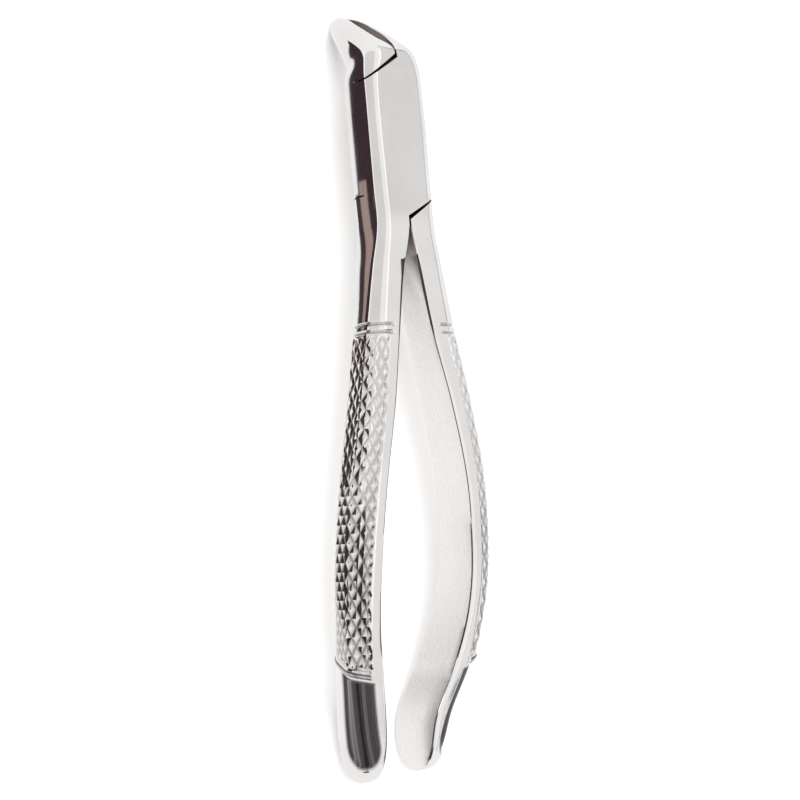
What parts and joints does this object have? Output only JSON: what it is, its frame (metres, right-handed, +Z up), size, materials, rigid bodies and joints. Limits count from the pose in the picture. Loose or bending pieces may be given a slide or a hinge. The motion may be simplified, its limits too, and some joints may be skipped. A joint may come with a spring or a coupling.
{
  "type": "extraction forceps",
  "caption": "Steel dental extraction forceps: crossed halves in a lap joint with a pivot screw, bent pointed beaks and long knurled handles with rounded ends.",
  "frame": {"origin": "on the surface the tool lies on, under the middle of its bounding box", "axes": "+X across the handles, +Y along the tool from the handle ends to the beaks, +Z up with the plain face of the joint on top and the beaks pointing down"},
  "size_m": [0.0448, 0.178, 0.0243],
  "materials": {
    "polished_steel": "mirror-polished stainless steel, satin on the handles' flat inner faces",
    "screw_steel": "ground stainless steel"
  },
  "bodies": {
    "back": {"back_half": "polished_steel"},
    "front": {"front_half": "polished_steel", "pivot_screw": "screw_steel"}
  },
  "joints": [
    {"name": "hinge", "type": "hinge", "parent": "back", "child": "front", "pos_m": [0, 0.05783, 0.01574], "axis": [0, -0.061, -0.9981], "range_deg": [-1.2, 35]}
  ]
}
